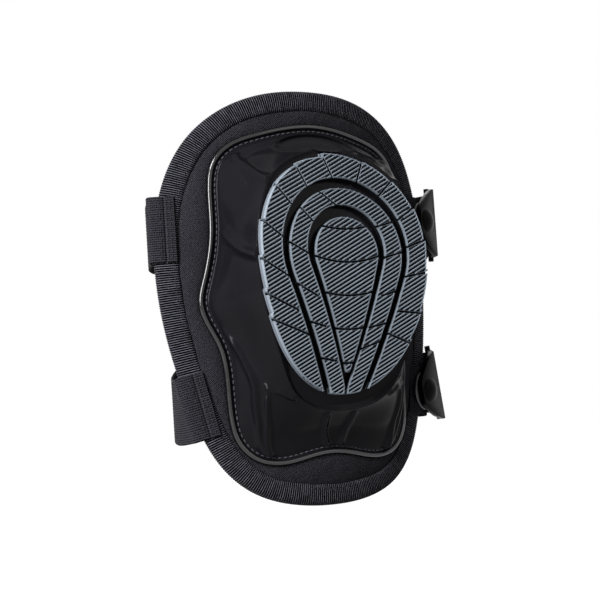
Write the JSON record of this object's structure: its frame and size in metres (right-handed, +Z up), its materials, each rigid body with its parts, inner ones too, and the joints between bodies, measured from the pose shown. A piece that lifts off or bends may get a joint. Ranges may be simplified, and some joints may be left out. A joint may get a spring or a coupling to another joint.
{
  "type": "strapped knee pad",
  "caption": "Knee pad with a moulded cap, a ridged rubber kneeling tread, a bound foam body and two elastic straps on snap clips, in the pose it is worn in.",
  "frame": {"origin": "centre of the knee seat, on the back of the gel cushion", "axes": "+Z up the leg, -Y out of the kneeling face, +X to the right of a viewer who faces the pad"},
  "size_m": [0.2077, 0.1508, 0.2425],
  "materials": {
    "lining_cloth": "brushed knit lining, black",
    "foam": "closed-cell foam, dark grey",
    "oxford_cloth": "plain-weave oxford cloth, black",
    "binding_tape": "ribbed grosgrain tape, black with a silvery sheen",
    "gel_cover": "stretch knit over a gel cushion",
    "cap_plastic": "glossy black moulded plastic",
    "tread_rubber": "matt blue-grey rubber with fine ridges",
    "webbing": "black polyester webbing",
    "elastic_webbing": "black woven elastic",
    "steel": "plated steel",
    "clip_plastic": "glossy black acetal"
  },
  "bodies": {
    "pad": {"back_lining": "lining_cloth", "foam_core": "foam", "front_fabric": "oxford_cloth", "edge_binding": "binding_tape", "gel_cushion": "gel_cover", "impact_foam": "foam", "cap_shell": "cap_plastic", "tread_outer": "tread_rubber", "tread_middle": "tread_rubber", "tread_core": "tread_rubber", "upper_tab": "webbing", "lower_tab": "webbing", "upper_stud_washer": "steel", "lower_stud_washer": "steel", "upper_snap_stud": "clip_plastic", "lower_snap_stud": "clip_plastic", "upper_strap": "elastic_webbing", "lower_strap": "elastic_webbing"},
    "upper_clip": {"upper_clip": "clip_plastic"},
    "lower_clip": {"lower_clip": "clip_plastic"},
    "upper_slide": {"upper_slide": "clip_plastic"},
    "lower_slide": {"lower_slide": "clip_plastic"}
  },
  "joints": [
    {"name": "upper_clip_swivel", "type": "hinge", "parent": "pad", "child": "upper_clip", "pos_m": [0.09146, -0.00034, 0.052], "axis": [0.5114, -0.8593, 0], "range_deg": [-10, 10], "deforming": ["upper_strap"]},
    {"name": "lower_clip_swivel", "type": "hinge", "parent": "pad", "child": "lower_clip", "pos_m": [0.08, -0.00632, -0.05437], "axis": [0.4502, -0.8929, 0], "range_deg": [-10, 5], "deforming": ["lower_strap"]},
    {"name": "upper_slide_travel", "type": "slide", "parent": "upper_clip", "child": "upper_slide", "axis": [-0.3544, 0.9351, 0], "range_m": [-0.006, 0.014]},
    {"name": "lower_slide_travel", "type": "slide", "parent": "lower_clip", "child": "lower_slide", "axis": [-0.2922, 0.9555, 0.0391], "range_m": [-0.006, 0.014]}
  ]
}
